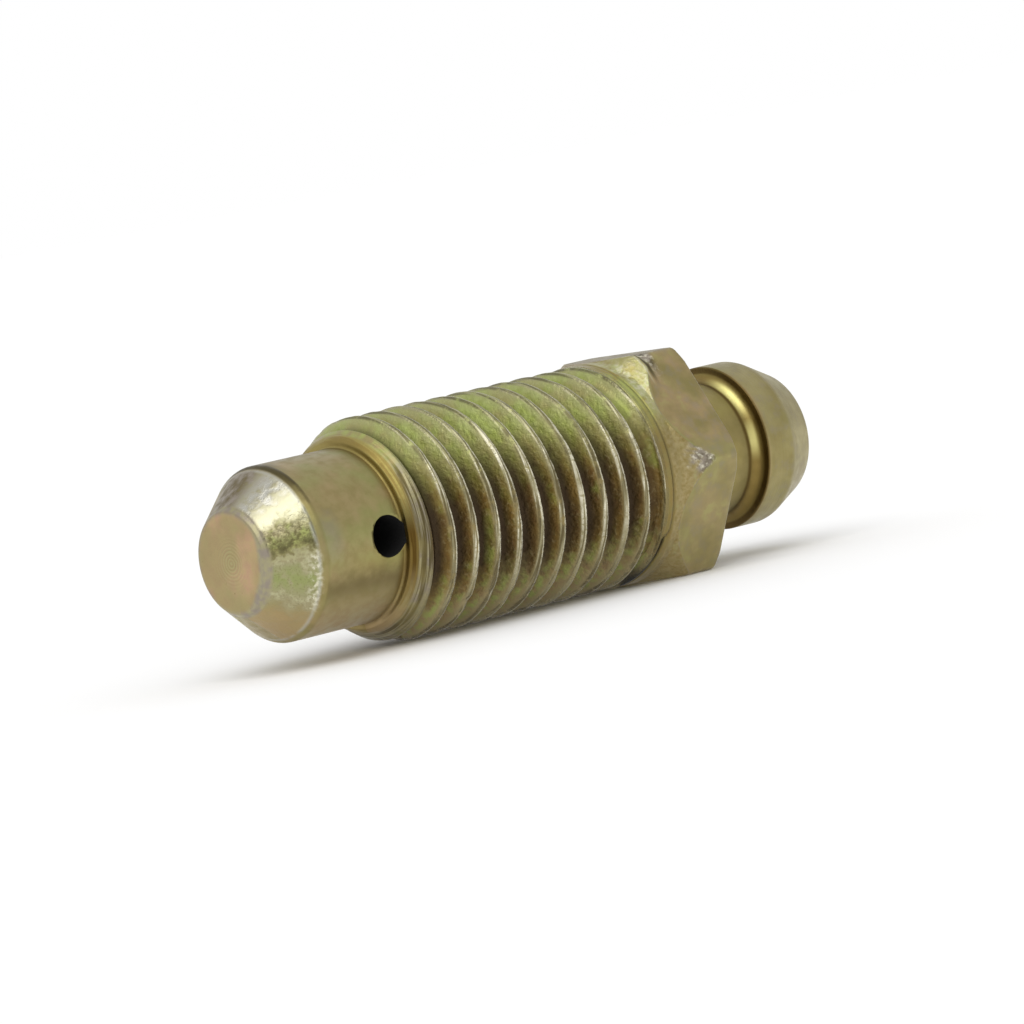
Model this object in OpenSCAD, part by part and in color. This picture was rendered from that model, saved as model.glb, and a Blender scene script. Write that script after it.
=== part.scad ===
// Brake bleeder screw: one turned and plated steel piece, lying on a hexagon flat.
// Stations along the screw are measured from its tip; the screw axis lies along X, tip towards -X.

/* [Overall] */
// Overall length of the screw, from the tip face to the end of the nose
total_len = 31.5; // [28:0.1:36]

/* [Seat and pilot] */
// Diameter of the flat face at the tip of the seat cone
tip_d = 4.4; // [3:0.1:5.6]
// Length of the seat cone along the axis
seat_len = 2.05; // [1.2:0.05:2.8]
// Length of the plain pilot, from the seat cone to the shoulder
pilot_len = 4.35; // [4:0.05:5]
// How much smaller the pilot is than the thread, on diameter
pilot_under = 2.36; // [2.1:0.02:2.8]
// Distance over which the corner between seat cone and pilot is broken
seat_edge = 0.2; // [0.05:0.05:0.3]

/* [Thread] */
// Nominal diameter of the thread
thread_d = 10; // [9.5:0.05:12]
// How much smaller the finished thread is than its nominal diameter
thread_allow = 0.1; // [0.08:0.01:0.16]
// Pitch of the thread
thread_pitch = 1.25; // [1:0.25:1.5]
// Width of the flat left on each crest
crest_w = 0.16; // [0.1:0.02:0.24]
// Half angle of the thread form
flank_angle = 30; // [27.5:2.5:30]
// Width of the flat ring on the shoulder, before the lead-in chamfer starts
shoulder_w = 0.33; // [0.2:0.01:0.4]
// Angle of the lead-in chamfer to the axis
lead_angle = 30; // [25:5:45]
// Distance from the shoulder to the first crest, on the side of the cross hole
first_crest = 0.56; // [0.2:0.02:0.9]
// Length of the plain collar between the thread and the arcs on the hexagon's flats
collar_len = 1; // [0.8:0.05:1.3]
// How much smaller the collar is than the nominal thread, on diameter
collar_under = 0.04; // [0.02:0.01:0.05]

/* [Hexagon] */
// How much wider the hexagon is across its flats than the thread
hex_over = 0; // [0:0.05:0.6]
// Length of each flat at its middle, from the chamfer arc to the back face
flat_len = 2.95; // [2.6:0.05:3.6]
// Angle of the front chamfer to the axis
hex_front_angle = 30; // [28:1:34]
// Angle of the back chamfer to the back face
hex_back_angle = 30; // [20:5:35]
// Depth that the back chamfer takes off each corner, measured outwards
hex_back_cut = 0.35; // [0.1:0.05:0.6]

/* [Neck and hose nose] */
// Diameter of the neck behind the hexagon
neck_d = 6.1; // [5.4:0.1:6.4]
// Length of the neck, from the hexagon to the front edge of the nose
neck_len = 3.6; // [3:0.05:4.2]
// Radius of the cove that joins the neck to the nose
cove_r = 0.5; // [0.3:0.05:0.5]
// Diameter of the nose that the hose grips
nose_d = 7.4; // [7.4:0.1:7.8]
// Length of the cylindrical land on the nose
nose_land = 1.55; // [1:0.05:2]
// Length of the taper between the land and the rounded end
nose_taper = 1.5; // [1:0.05:1.8]
// Diameter of the nose at the end of its taper
nose_end_d = 6; // [5.2:0.1:6.4]
// Radius of the rounding round the end face of the nose
nose_end_r = 0.4; // [0.2:0.05:0.5]

/* [Fluid passage] */
// Diameter of the bore along the axis
bore_d = 2.6; // [2:0.1:3]
// Diameter of the cross hole in the pilot
cross_d = 1.8; // [1.2:0.1:1.8]
// How far the cross hole cuts into the face of the shoulder
cross_bite = 0.1; // [0.05:0.05:0.2]
// Angle round the axis between the cross hole and the nearest corner of the hexagon
cross_turn = 2; // [-10:1:10]
// How far the bore runs on past the cross hole
bore_past = 0.4; // [0.1:0.1:0.6]
// Width of the chamfer at the mouth of the bore
mouth_chamfer = 0.25; // [0.1:0.05:0.4]
// Point angle of the drill that left the bottom of the bore
drill_angle = 118; // [90:2:140]

/* [Hidden] */
steel = [0.66, 0.62, 0.40];

// Diameters that follow the thread
hex_af = thread_d + hex_over;
pilot_d = thread_d - pilot_under;
lead_r = pilot_d / 2 + shoulder_w;
crest_r = (thread_d - thread_allow) / 2;
hex_r = hex_af / 2 / cos(30);

// Stations from the tip
shoulder_x = seat_len + pilot_len;
cross_x = shoulder_x + cross_bite - cross_d / 2;
round_x = total_len - nose_end_r;
land_end_x = round_x - nose_taper;
nose_x = land_end_x - nose_land;
hex_end_x = nose_x - neck_len;
hex_arc_x = hex_end_x - flat_len;
collar_x = hex_arc_x - collar_len;
bore_bottom_x = cross_x - cross_d / 2 - bore_past;
point_len = bore_d / 2 / tan(drill_angle / 2);

// Place in the shared frame: middle of the length over the origin, one flat on the ground
axis_z = hex_af / 2;
mid_x = total_len / 2;

// Root and foot of the thread form, from the standard depth of an external thread
root_r = thread_d / 2 - 0.6134 * thread_pitch;
foot_r = root_r + 0.12;
flank_run = (crest_r - foot_r) * tan(flank_angle);
foot_off = crest_w / 2 + flank_run;

// One pitch of the thread form: offset from the crest centre, and radius
form = [
    [-crest_w / 2, crest_r],
    [crest_w / 2, crest_r],
    [foot_off, foot_r],
    [thread_pitch / 2, root_r],
    [thread_pitch - foot_off, foot_r]
];
form_n = len(form);
around = 48;
turns = ceil((collar_x - shoulder_x) / thread_pitch) + 2;
rows = form_n * turns;
thread_end_x = collar_x + 0.9;
row_gap = 0.02;

// The first crest at the seam, three quarters of a turn before the corner beside the cross hole
seam_crest_x = shoulder_x + first_crest - 0.75 * thread_pitch;

// Station of row m of the thread at step i round the axis, kept between the two end rings
function row_x(i, m) =
    let (raw = seam_crest_x + thread_pitch * (i / around + floor(m / form_n)) + form[m % form_n][0])
    max(shoulder_x + row_gap * (m + 1), min(thread_end_x - row_gap * (rows - m), raw));

// Largest radius that the lead-in chamfer leaves at a station; inside the collar it falls away
function envelope_r(x) = min(
    lead_r + (x - shoulder_x) * tan(lead_angle),
    crest_r,
    crest_r - (x - collar_x)
);

// Radius of the thread form at a station, seen from the crest before it
function form_r(x, i) =
    let (
        from_crest = x - seam_crest_x - thread_pitch * i / around,
        u = from_crest - thread_pitch * floor(from_crest / thread_pitch),
        v = min(u, thread_pitch - u)
    )
    lookup(v, [
        [0, crest_r],
        [crest_w / 2, crest_r],
        [foot_off, foot_r],
        [thread_pitch / 2, root_r]
    ]);

function thread_point(i, m) =
    let (
        x = row_x(i, m),
        r = min(form_r(x, i), envelope_r(x)),
        a = 360 * i / around
    )
    [r * cos(a), r * sin(a), x];

function ring_point(i, x, r) = [r * cos(360 * i / around), r * sin(360 * i / around), x];

// Threaded length as one closed body: two end rings and the rows of the helix between them.
// The last turn ends inside the collar.
module threaded_rod() {
    last = around - 1;
    first_ring = around * rows;
    last_ring = first_ring + around;
    points = concat(
        [for (i = [0 : last]) for (m = [0 : rows - 1]) thread_point(i, m)],
        [for (i = [0 : last]) ring_point(i, shoulder_x, lead_r)],
        [for (i = [0 : last]) ring_point(i, thread_end_x, envelope_r(thread_end_x))]
    );
    function at(i, m) = i * rows + m;
    sides = [
        for (i = [0 : last - 1]) for (m = [0 : rows - 2])
            for (tri = [
                [at(i, m), at(i, m + 1), at(i + 1, m)],
                [at(i + 1, m), at(i, m + 1), at(i + 1, m + 1)]
            ]) tri
    ];
    seam = [
        for (m = [0 : rows - 2 - form_n])
            for (tri = [
                [at(last, m), at(last, m + 1), at(0, m + form_n)],
                [at(0, m + form_n), at(last, m + 1), at(0, m + form_n + 1)]
            ]) tri
    ];
    front = [
        for (i = [0 : last - 1])
            for (tri = [
                [first_ring + i, at(i, 0), first_ring + i + 1],
                [first_ring + i + 1, at(i, 0), at(i + 1, 0)]
            ]) tri
    ];
    front_seam = concat(
        [[first_ring + last, at(last, 0), first_ring]],
        [[first_ring, at(last, 0), at(0, 0)]],
        [for (m = [0 : form_n - 1]) [at(0, m), at(last, 0), at(0, m + 1)]]
    );
    back = [
        for (i = [0 : last - 1])
            for (tri = [
                [at(i, rows - 1), last_ring + i, at(i + 1, rows - 1)],
                [at(i + 1, rows - 1), last_ring + i, last_ring + i + 1]
            ]) tri
    ];
    back_seam = concat(
        [for (m = [rows - 1 - form_n : rows - 2]) [at(last, m), at(last, m + 1), at(0, rows - 1)]],
        [[at(last, rows - 1), last_ring + last, at(0, rows - 1)]],
        [[at(0, rows - 1), last_ring + last, last_ring]]
    );
    caps = [
        [for (i = [0 : last]) first_ring + i],
        [for (i = [last : -1 : 0]) last_ring + i]
    ];
    polyhedron(points = points, faces = concat(sides, seam, front, front_seam, back, back_seam, caps));
}

// Tip face, seat cone and pilot; the pilot runs on inside the thread
module seat_and_pilot() {
    half_cone = atan((pilot_d - tip_d) / 2 / seat_len);
    rotate_extrude($fn = 96)
        polygon([
            [0, 0],
            [tip_d / 2 - 0.1, 0],
            [tip_d / 2, 0.06],
            [pilot_d / 2 - seat_edge / 2 * sin(half_cone), seat_len - seat_edge / 2 * cos(half_cone)],
            [pilot_d / 2, seat_len + seat_edge / 2],
            [pilot_d / 2, shoulder_x + 1],
            [0, shoulder_x + 1]
        ]);
}

// Plain collar that closes the thread and runs in under the chamfer of the hexagon
module collar() {
    translate([0, 0, collar_x])
        cylinder(h = collar_len + 0.3, d = thread_d - collar_under, $fn = 96);
}

// Hexagon with its long front chamfer and the small one at the back
module hexagon() {
    front_x = hex_arc_x - (hex_af / 2 - root_r) / tan(hex_front_angle);
    reach = hex_r + 1;
    intersection() {
        translate([0, 0, front_x])
            rotate(30)
                cylinder(h = hex_end_x - front_x, r = hex_r, $fn = 6);
        rotate_extrude($fn = 96)
            polygon([
                [0, front_x],
                [root_r, front_x],
                [reach, front_x + (reach - root_r) / tan(hex_front_angle)],
                [reach, hex_end_x - (reach - hex_r + hex_back_cut) * tan(hex_back_angle)],
                [hex_r - hex_back_cut, hex_end_x],
                [0, hex_end_x]
            ]);
    }
}

// Neck, cove, hose land, taper and rounded end in one section
module neck_and_nose() {
    rotate_extrude($fn = 96)
        union() {
            difference() {
                polygon([
                    [0, hex_end_x - 1],
                    [neck_d / 2, hex_end_x - 1],
                    [neck_d / 2, nose_x - cove_r],
                    [neck_d / 2 + cove_r, nose_x],
                    [nose_d / 2 - 0.08, nose_x],
                    [nose_d / 2, nose_x + 0.08],
                    [nose_d / 2, land_end_x],
                    [nose_end_d / 2, round_x],
                    [nose_end_d / 2 - nose_end_r, total_len],
                    [0, total_len]
                ]);
                translate([neck_d / 2 + cove_r, nose_x - cove_r])
                    circle(r = cove_r, $fn = 64);
            }
            translate([nose_end_d / 2 - nose_end_r, round_x])
                circle(r = nose_end_r, $fn = 64);
        }
}

// Bore from the nose, drill point, mouth chamfer and the cross hole that meets it
module fluid_passage() {
    rotate_extrude($fn = 96)
        polygon([
            [0, bore_bottom_x - point_len],
            [bore_d / 2, bore_bottom_x],
            [bore_d / 2, total_len - mouth_chamfer],
            [bore_d / 2 + mouth_chamfer + 0.5, total_len + 0.5],
            [0, total_len + 0.5]
        ]);
    translate([0, 0, cross_x])
        rotate([90, 0, cross_turn])
            cylinder(h = pilot_d, d = cross_d, $fn = 64);
}

module bleeder_screw() {
    color(steel)
        translate([-mid_x, 0, axis_z])
            rotate([0, 90, 0])
                difference() {
                    union() {
                        seat_and_pilot();
                        threaded_rod();
                        collar();
                        hexagon();
                        neck_and_nose();
                    }
                    fluid_passage();
                }
}

bleeder_screw();
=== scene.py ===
import math

import bpy
import numpy as np
from mathutils import Matrix, Vector, noise


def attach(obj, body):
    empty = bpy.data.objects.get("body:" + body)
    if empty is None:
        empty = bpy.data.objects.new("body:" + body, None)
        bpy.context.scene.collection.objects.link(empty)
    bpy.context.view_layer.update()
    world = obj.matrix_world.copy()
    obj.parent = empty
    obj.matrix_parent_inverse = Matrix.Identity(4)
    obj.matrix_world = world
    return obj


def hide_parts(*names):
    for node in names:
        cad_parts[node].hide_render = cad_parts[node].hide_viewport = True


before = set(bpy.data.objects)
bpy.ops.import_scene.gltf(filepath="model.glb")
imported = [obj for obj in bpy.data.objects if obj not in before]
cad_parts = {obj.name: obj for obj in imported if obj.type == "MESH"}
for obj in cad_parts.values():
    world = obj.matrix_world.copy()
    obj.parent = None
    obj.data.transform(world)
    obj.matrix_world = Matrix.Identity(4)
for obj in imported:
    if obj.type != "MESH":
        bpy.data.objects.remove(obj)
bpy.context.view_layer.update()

MM = 0.001

# Sizes in millimetres, those of the part's source or a hair smaller; stations run from the tip
TOTAL = 31.5
MID = TOTAL / 2
AXIS_Z = 5.0

# Tip face, seat cone, pilot and shoulder
TIP_R = 2.2
TIP_EDGE = 0.14
SEAT_END = 2.05
SEAT_EDGE = 0.3
PILOT_R = 3.82
SHOULDER = 6.4
SHOULDER_EDGE = 0.1
LEAD_R = 4.15
LEAD_SLOPE = math.tan(math.radians(30))

# Neck and hose nose
NOSE_R = 3.7
NOSE_END_R = 3.0
NOSE_END_ROUND = 0.4
NOSE_LIP = 0.08
LAND_SOFT = 0.8
ROUND_X = TOTAL - NOSE_END_ROUND
LAND_END = ROUND_X - 1.5
NOSE_X = LAND_END - 1.55
COVE_R = 0.5
NECK_R = 3.05
NECK_FILLET = 0.12

# Hexagon, its two chamfers and the plain collar in front of it
HEX_END = NOSE_X - 3.6
HEX_AF = 9.97
HEX_CORNER_R = HEX_AF / 2 / math.cos(math.pi / 6)
HEX_WORN_R = 5.7
HEX_SLOPE = math.tan(math.radians(30))
HEX_SOFT = 0.03
BACK_CUT = 0.35
BACK_SLOPE = math.tan(math.radians(30))
ARC_X = HEX_END - 2.95
COLLAR_X = ARC_X - 1
COLLAR_R = 4.98

# Thread
PITCH = 1.25
FLANK_SLOPE = math.sqrt(3)
CREST_R = 4.95
CREST_HALF = 0.08
CREST_SOFT = 0.05
ROOT_R = 4.235
ROOT_SOFT = 0.42
FIRST_CREST = 6.96
RUN_OUT = (18.9, 20.6)
RUN_OUT_RISE = 0.34
ROWS_PER_PITCH = 14

# Bore along the axis, and the cross hole in the pilot
BORE_R = 1.3
BORE_BOTTOM = 4.3
BORE_MOUTH = 0.25
DRILL_HALF_ANGLE = 59
HOLE_R = 0.9
HOLE_X = SHOULDER + 0.1 - HOLE_R
HOLE_TURN = 2
DRILL_REACH = PILOT_R + 0.08

# Wear of the crests: the depth of small bites, and larger nicks by station, turn, size and depth
CREST_BITE = 0.035
CREST_NICKS = (
    (9.02, 256.5, 0.22, 0.16),
    (9.56, 320.5, 0.3, 0.14),
    (10.02, 319.0, 0.25, 0.1),
    (10.74, 317.0, 0.28, 0.12),
    (12.3, 322.0, 0.25, 0.08),
    (7.6, 207.0, 0.3, 0.08),
    (15.36, 236.0, 0.3, 0.07),
)

# Fold between collar and hexagon: a fine line that steps back and opens to a slit on the lower
# side, with a low bead in front; pairs are turns between which it changes
FOLD_X = 20.98
FOLD_WIDTH = 0.05
FOLD_DEPTH = 0.045
FOLD_ROWS_END = 21.2
FOLD_ROW_GAP = 0.035
FOLD_STEP = 0.28
FOLD_STEPS = (303, 309)
FOLD_DRIFT = 0.1
FOLD_DRIFTS = (309, 345)
SLIT_DEPTH = 0.42
SLIT_OPENS = (303, 311)
SLIT_CLOSES = (350, 360)
BEAD_BACK = 0.17
BEAD_HEIGHT = 0.035
BEAD_WIDTH = 0.09
BEAD_STARTS = (190, 205)
BEAD_ENDS = (335, 350)

# Corner crushed by a spanner: turn, and the station, radius and slope of its facet
MID_CORNER = 267.5
MID_FACET_X = 22.0
MID_FACET_R = 5.26
MID_FACET_SLOPE = 0.42
MID_FACET_TURN = 14

# Corner rolled forward: its turn, width in degrees and height, the stations between which it
# rises and falls, and the notch behind it
TOP_CORNER = 207
TOP_WIDTH = 9.0
TOP_RISE = 0.26
TOP_RISES = (21.1, 21.75)
TOP_FALLS = (22.15, 22.4)
TOP_NOTCH_X = 22.62
TOP_NOTCH_DEPTH = 0.1
TOP_NOTCH_WIDTH = 0.17

# Columns round the axis; a corner of the hexagon falls on a column every 60 degrees from 30
COLS = 240
PHI = np.arange(COLS) * 2 * math.pi / COLS
PHI_DEG = np.degrees(PHI)


def smooth_min(a, b, k):
    h = np.clip(0.5 + 0.5 * (b - a) / k, 0, 1)
    return b * (1 - h) + a * h - k * h * (1 - h)


def smooth_max(a, b, k):
    return -smooth_min(-a, -b, k)


def smooth_step(a, b, x):
    t = np.clip((x - a) / (b - a), 0, 1)
    return t * t * (3 - 2 * t)


def turn_gap(a, b):
    """Smallest angle between two directions round the axis, in degrees."""
    return np.abs((a - b + 180) % 360 - 180)


def thread_form(u):
    """Radius of the thread at distance u past a crest: narrow crest, 60 degree form, round root."""
    v = np.minimum(u % PITCH, PITCH - u % PITCH)
    flank = CREST_R + CREST_HALF * FLANK_SLOPE - v * FLANK_SLOPE
    rounded = smooth_min(flank, CREST_R + 0 * v, CREST_SOFT)
    return smooth_max(rounded, ROOT_R + 0 * v, ROOT_SOFT)


def crest_offset(s, phi_deg):
    """Distance past the first crest, which runs round as a right-hand helix."""
    return s - FIRST_CREST - PITCH * (phi_deg - 270) / 360


def lead_r(s):
    """Radius of the lead-in cone that starts at the shoulder."""
    return LEAD_R + 0.02 + (s - SHOULDER) * LEAD_SLOPE


def thread_r(s, phi_deg):
    """Radius of the thread: the lead-in cone cuts it in front, and its root rises at the end."""
    r = thread_form(crest_offset(s, phi_deg))
    r = smooth_max(r, ROOT_R + RUN_OUT_RISE * smooth_step(*RUN_OUT, s), 0.12)
    return smooth_min(r, lead_r(s), 0.07)


def fold_station(phi_deg):
    """Where the fold runs; on the lower side it steps back towards the thread."""
    step = FOLD_STEP * smooth_step(*FOLD_STEPS, phi_deg)
    step = step + FOLD_DRIFT * smooth_step(*FOLD_DRIFTS, phi_deg)
    back = step * (1 - smooth_step(*SLIT_CLOSES, phi_deg))
    return FOLD_X - back + 0.03 * np.sin(np.radians(phi_deg * 3))


def fold_depth(s, phi_deg):
    """Depth of the fold: a fine line that opens to a slit on the lower side."""
    middle = fold_station(phi_deg)
    opened = smooth_step(*SLIT_OPENS, phi_deg) * (1 - smooth_step(*SLIT_CLOSES, phi_deg))
    depth = FOLD_DEPTH + SLIT_DEPTH * opened
    width = FOLD_WIDTH * (1 + 0.5 * opened)
    return depth * np.exp(-(((s - middle) / width) ** 2))


def collar_lift(s, phi_deg):
    """Low bead that the fold has pushed up on its thread side."""
    middle = fold_station(phi_deg) - BEAD_BACK
    clear = smooth_step(*BEAD_STARTS, phi_deg) * (1 - smooth_step(*BEAD_ENDS, phi_deg))
    return BEAD_HEIGHT * clear * np.exp(-(((s - middle) / BEAD_WIDTH) ** 2))


def dent_corners(s, phi_deg, r):
    """A spanner has crushed the middle corner and rolled the upper one forward."""
    gap = phi_deg - MID_CORNER
    facet = MID_FACET_R + MID_FACET_SLOPE * (s - MID_FACET_X)
    facet = facet + 0.035 * np.sin(gap * 0.9 + 9.0 * s) + 0.02 * np.sin(gap * 2.3 - 14.0 * s)
    facet = facet / np.cos(np.radians(gap))
    near = (np.abs(gap) < MID_FACET_TURN) & (s > MID_FACET_X - 0.5) & (s < MID_FACET_X + 1.5)
    r = np.where(near, smooth_min(r, facet, 0.025), r)
    gap = phi_deg - TOP_CORNER
    beside = np.exp(-((gap / TOP_WIDTH) ** 2))
    rolled = TOP_RISE * beside * smooth_step(*TOP_RISES, s) * (1 - smooth_step(*TOP_FALLS, s))
    notch = TOP_NOTCH_DEPTH * beside * np.exp(-(((s - TOP_NOTCH_X) / TOP_NOTCH_WIDTH) ** 2))
    return np.minimum(r + rolled, hex_r(phi_deg)) - notch


def hex_r(phi_deg):
    """Radius of the hexagon, with its corners slightly rounded."""
    off = np.minimum(phi_deg % 60, 60 - phi_deg % 60)
    r = HEX_AF / 2 / np.cos(np.radians(off))
    return smooth_min(r, HEX_WORN_R + 0 * r, 0.05)


def arc_station(flat_r):
    """Station where the front chamfer meets a flat at the radius flat_r."""
    return ARC_X + (flat_r - HEX_AF / 2) / HEX_SLOPE


def chamfered_r(s, flat_r):
    """Radius of the hexagon before it was dented: the collar, the front chamfer, then the flats."""
    cone_r = COLLAR_R + np.maximum(s - ARC_X, 0) * HEX_SLOPE
    return smooth_min(cone_r, flat_r, HEX_SOFT)


class Skin:
    """Collects points and faces of the one lathe-like skin."""

    def __init__(self):
        self.points = []
        self.faces = []

    def ring(self, s, r):
        """One closed row of points; s and r are numbers or one value per column."""
        s = np.broadcast_to(np.asarray(s, float), (COLS,))
        r = np.broadcast_to(np.asarray(r, float), (COLS,))
        start = len(self.points)
        xyz = np.stack([s - MID, r * np.sin(PHI), AXIS_Z - r * np.cos(PHI)], 1)
        self.points.extend(map(tuple, xyz))
        return np.arange(start, start + COLS)

    def point(self, s):
        """One point on the axis."""
        self.points.append((s - MID, 0.0, AXIS_Z))
        return len(self.points) - 1

    def face(self, corners):
        """Adds a face and leaves out corners that fall together."""
        kept = [c for i, c in enumerate(corners) if c != corners[i - 1]]
        if len(set(kept)) >= 3:
            self.faces.append(kept)

    def bridge(self, a, b):
        """Faces between row a and the next row b."""
        for i in range(COLS):
            j = (i + 1) % COLS
            self.face([int(a[i]), int(a[j]), int(b[j]), int(b[i])])

    def fan(self, centre, row, flip):
        """Faces between a point on the axis and a closed row."""
        for i in range(COLS):
            j = (i + 1) % COLS
            pair = [int(row[j]), int(row[i])] if flip else [int(row[i]), int(row[j])]
            self.face([centre] + pair)

    def rows(self, first, stations):
        """Adds rows of (s, r) after the row first and returns the last one."""
        last = first
        for s, r in stations:
            nxt = self.ring(s, r)
            self.bridge(last, nxt)
            last = nxt
        return last


def arc(cs, cr, radius, a0, a1, n):
    """Points on an arc in the section, angles in degrees from +s towards +r."""
    out = []
    for k in range(n + 1):
        a = math.radians(a0 + (a1 - a0) * k / n)
        out.append((cs + radius * math.cos(a), cr + radius * math.sin(a)))
    return out


def line(s0, r0, s1, r1, n):
    """Points along a straight line in the section, without its first one."""
    return [(s0 + (s1 - s0) * k / n, r0 + (r1 - r0) * k / n) for k in range(1, n + 1)]


def front_rows():
    """Tip face, seat cone, pilot and shoulder, as stations and radii."""
    cone = math.atan2(PILOT_R - TIP_R, SEAT_END)
    cone_deg = math.degrees(cone)
    rows = [(0.0, r) for r in (0.35, 0.75, 1.15, 1.5, 1.8, 1.98)]
    # Tip edge: arc tangent to the face and the cone
    back = TIP_EDGE * math.tan((math.pi / 2 - cone) / 2)
    rows += arc(TIP_EDGE, TIP_R - back, TIP_EDGE, 180, 90 + cone_deg, 6)
    # Seat cone, and the arc that breaks its edge to the pilot
    slip = SEAT_EDGE * math.tan(cone / 2)
    s_a = SEAT_END - slip * math.cos(cone)
    r_a = PILOT_R - slip * math.sin(cone)
    s0, r0 = rows[-1]
    rows += line(s0, r0, s_a, r_a, 12)
    rows += arc(SEAT_END + slip, PILOT_R - SEAT_EDGE, SEAT_EDGE, 90 + cone_deg, 90, 6)[1:]
    # Pilot, fillet, shoulder ring and its outer edge
    e = SHOULDER_EDGE
    rows += line(SEAT_END + slip, PILOT_R, SHOULDER - e, PILOT_R, 22)
    rows += arc(SHOULDER - e, PILOT_R + e, e, 270, 360, 4)[1:]
    rows += [(SHOULDER, PILOT_R + 0.17), (SHOULDER, LEAD_R - 0.09)]
    rows += arc(SHOULDER + e, LEAD_R - e, e, 180, 130, 4)[1:]
    return rows


def thread_rows(skin, start_row, s_start, s_end, per_pitch):
    """Rows that follow the helix between two closed rings. Where a row would pass a ring, its
    point is the ring's own, so the helix runs out cleanly at both ends."""
    step = PITCH / per_pitch
    turns = int(math.ceil((s_end - s_start) / PITCH)) + 2
    count = per_pitch * turns + 1
    base = s_start - PITCH - 0.5 * step
    end_r = thread_r(np.full(COLS, s_end), PHI_DEG)
    end_row = skin.ring(s_end, end_r)
    index = np.zeros((COLS, count), int)
    for m in range(count):
        s = base + m * step + PITCH * np.arange(COLS) / COLS
        low = s < s_start + 0.3 * step
        high = s > s_end - 0.3 * step
        row = np.where(low, start_row, np.where(high, end_row, -1))
        inside = np.nonzero(row < 0)[0]
        s_in = s[inside]
        r_in = thread_r(s_in, PHI_DEG[inside])
        first = len(skin.points)
        phi = PHI[inside]
        xyz = np.stack([s_in - MID, r_in * np.sin(phi), AXIS_Z - r_in * np.cos(phi)], 1)
        skin.points.extend(map(tuple, xyz))
        row[inside] = np.arange(first, first + len(inside))
        index[:, m] = row
    for i in range(COLS):
        j = (i + 1) % COLS
        shift = per_pitch if j == 0 else 0
        for m in range(count - 1):
            c = index[j, min(m + shift, count - 1)]
            d = index[j, min(m + shift + 1, count - 1)]
            skin.face([int(index[i, m]), int(c), int(d), int(index[i, m + 1])])
    return end_row


def hex_rows():
    """Collar, long front chamfer, flats, small back chamfer and back face of the hexagon."""
    r_flat = hex_r(PHI_DEG)
    collar_r = COLLAR_R + 0 * r_flat
    s_arc = arc_station(r_flat)
    back_rim = HEX_CORNER_R - BACK_CUT
    s_back = HEX_END - np.clip(r_flat - back_rim, 0, 1) * BACK_SLOPE
    collar_edge = ((0, 0.06), (0.03, 0.02), (0.08, 0))
    rows = [(COLLAR_X + along, collar_r - drop) for along, drop in collar_edge]
    for x in np.arange(COLLAR_X + 0.12, FOLD_ROWS_END, FOLD_ROW_GAP):
        rows.append((x, collar_r - fold_depth(x, PHI_DEG) + collar_lift(x, PHI_DEG)))
    rows.append((FOLD_ROWS_END + 0.1, collar_r))

    def dented(s, r):
        rows.append((s, dent_corners(s, PHI_DEG, r)))

    # The cone up to the arc, with the arc's edge slightly broken
    s0 = ARC_X - 0.1
    for t in np.linspace(0, 1, 13)[:-1]:
        s = s0 + (s_arc - 0.06 - s0) * t
        dented(s, chamfered_r(s, r_flat))
    for d in (-0.06, -0.03, 0.0, 0.03, 0.07):
        dented(s_arc + d, chamfered_r(s_arc + d, r_flat))
    for t in np.linspace(0, 1, 12)[1:]:
        dented(s_arc + 0.07 + (s_back - 0.05 - s_arc - 0.07) * t, r_flat)
    back_r = np.minimum(r_flat, back_rim)
    rows += [(s_back, r_flat - 0.02), (HEX_END - 0.03, back_r - 0.01), (HEX_END, back_r - 0.06)]
    rows += [(HEX_END, r) for r in (4.3, 3.6, NECK_R + NECK_FILLET)]
    return rows


def rear_rows():
    """Neck, cove, nose with its taper and rounded end, and the bore down to its bottom."""
    fillet = NECK_FILLET
    rows = arc(HEX_END + fillet, NECK_R + fillet, fillet, 180, 270, 4)[1:]
    rows += line(HEX_END + fillet, NECK_R, NOSE_X - COVE_R, NECK_R, 12)
    rows += arc(NOSE_X - COVE_R, NECK_R + COVE_R, COVE_R, 270, 360, 12)[1:]
    rows += [(NOSE_X, NOSE_R - NOSE_LIP - 0.02)]
    rows += arc(NOSE_X + NOSE_LIP, NOSE_R - NOSE_LIP, NOSE_LIP, 180, 90, 5)
    # Land and taper, with a soft arc between them
    taper = math.atan2(NOSE_R - NOSE_END_R, ROUND_X - LAND_END)
    slope_deg = 90 - math.degrees(taper)
    slip = LAND_SOFT * math.tan(taper / 2)
    rows += line(NOSE_X + NOSE_LIP, NOSE_R, LAND_END - slip, NOSE_R, 6)
    rows += arc(LAND_END - slip, NOSE_R - LAND_SOFT, LAND_SOFT, 90, slope_deg, 6)[1:]
    # Rounded end, tangent to the taper and the end face
    s0, r0 = rows[-1]
    back = NOSE_END_ROUND * math.tan((math.pi / 2 - taper) / 2)
    face_r = NOSE_R - (TOTAL - LAND_END) * math.tan(taper)
    s_b = TOTAL - back * math.cos(taper)
    r_b = face_r + back * math.sin(taper)
    rows += line(s0, r0, s_b, r_b, 7)
    rows += arc(TOTAL - NOSE_END_ROUND, face_r - back, NOSE_END_ROUND, slope_deg, 0, 8)[1:]
    # Chamfered mouth and wall of the bore
    mouth = BORE_MOUTH
    rows += [(TOTAL, 2.0), (TOTAL, BORE_R + mouth + 0.03), (TOTAL - 0.02, BORE_R + mouth - 0.01)]
    rows += [(TOTAL - mouth, BORE_R + 0.02), (TOTAL - mouth - 0.04, BORE_R)]
    rows += line(TOTAL - mouth - 0.04, BORE_R, BORE_BOTTOM, BORE_R, 8)
    return rows


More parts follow.
